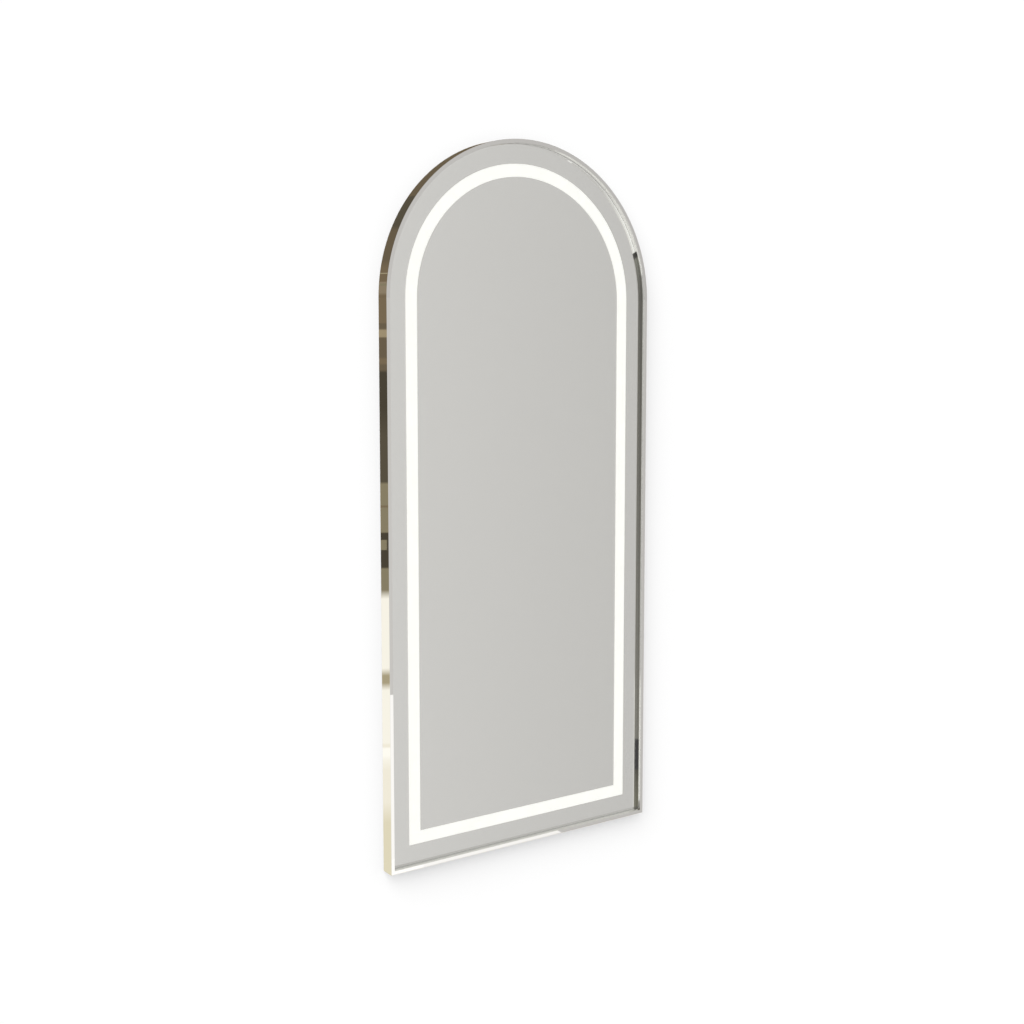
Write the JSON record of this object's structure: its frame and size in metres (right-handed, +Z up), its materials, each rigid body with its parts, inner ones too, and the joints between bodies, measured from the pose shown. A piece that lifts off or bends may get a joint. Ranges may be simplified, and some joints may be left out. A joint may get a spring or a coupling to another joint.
{
  "type": "salon mirror",
  "caption": "Wall-hung salon mirror with a half-round top, polished metal frame and a lit band in the glass; it hangs by hooked rails and lifts off.",
  "frame": {"origin": "middle of the wall rail's screw line, on the wall's face", "axes": "+Y into the wall, so the glass faces -Y; +Z up; +X to the right as seen from the front"},
  "size_m": [0.8, 0.0415, 1.8199],
  "materials": {
    "bright_frame": "mirror polished",
    "clear_glass": "clear, ground edge",
    "silvering": "silvered, with a safety film behind",
    "opal": "opal acrylic, lit from the side",
    "white_coat": "satin powder coat",
    "zinc_plate": "bright zinc plate",
    "key_alloy": "as cast",
    "dark_screws": "black oxide",
    "foam": "closed-cell foam",
    "soft_rubber": "matte",
    "bumper": "clear, slightly frosted",
    "tape_film": "white circuit film",
    "led_package": "phosphor",
    "white_plastic": "moulded",
    "cable_sheath": "flexible sheath",
    "wire_sheath": "flexible sheath",
    "stud_brass": "plain"
  },
  "bodies": {
    "wall": {"wall_rail": "zinc_plate"},
    "mirror": {"frame_arch": "bright_frame", "frame_left": "bright_frame", "frame_right": "bright_frame", "frame_bottom": "bright_frame", "corner_key_left": "key_alloy", "corner_key_right": "key_alloy", "splice_key_left": "key_alloy", "splice_key_right": "key_alloy", "key_screws": "dark_screws", "bumpers": "bumper", "frame_tabs": "zinc_plate", "tab_screws": "zinc_plate", "mirror_glass": "clear_glass", "silver_border": "silvering", "silver_centre": "silvering", "light_diffuser": "opal", "bond_tape": "foam", "tray_rim": "white_coat", "tray_back": "white_coat", "light_fence": "white_coat", "fence_grommet": "soft_rubber", "glass_pads": "foam", "led_tape": "tape_film", "led_chips": "led_package", "tape_connector": "white_plastic", "led_lead": "cable_sheath", "lead_clips": "white_plastic", "gear_cover": "white_coat", "cover_screws": "zinc_plate", "led_driver": "white_plastic", "driver_screws": "zinc_plate", "terminal_block": "white_plastic", "supply_wires": "wire_sheath", "earth_stud": "stud_brass", "cable_grommet": "soft_rubber", "hook_rail": "zinc_plate", "hook_rail_screws": "zinc_plate", "hook_rail_nuts": "zinc_plate"}
  },
  "joints": [
    {"name": "mirror_lift", "type": "slide", "parent": "wall", "child": "mirror", "axis": [0, 0, 1], "range_m": [0, 0.012]}
  ]
}
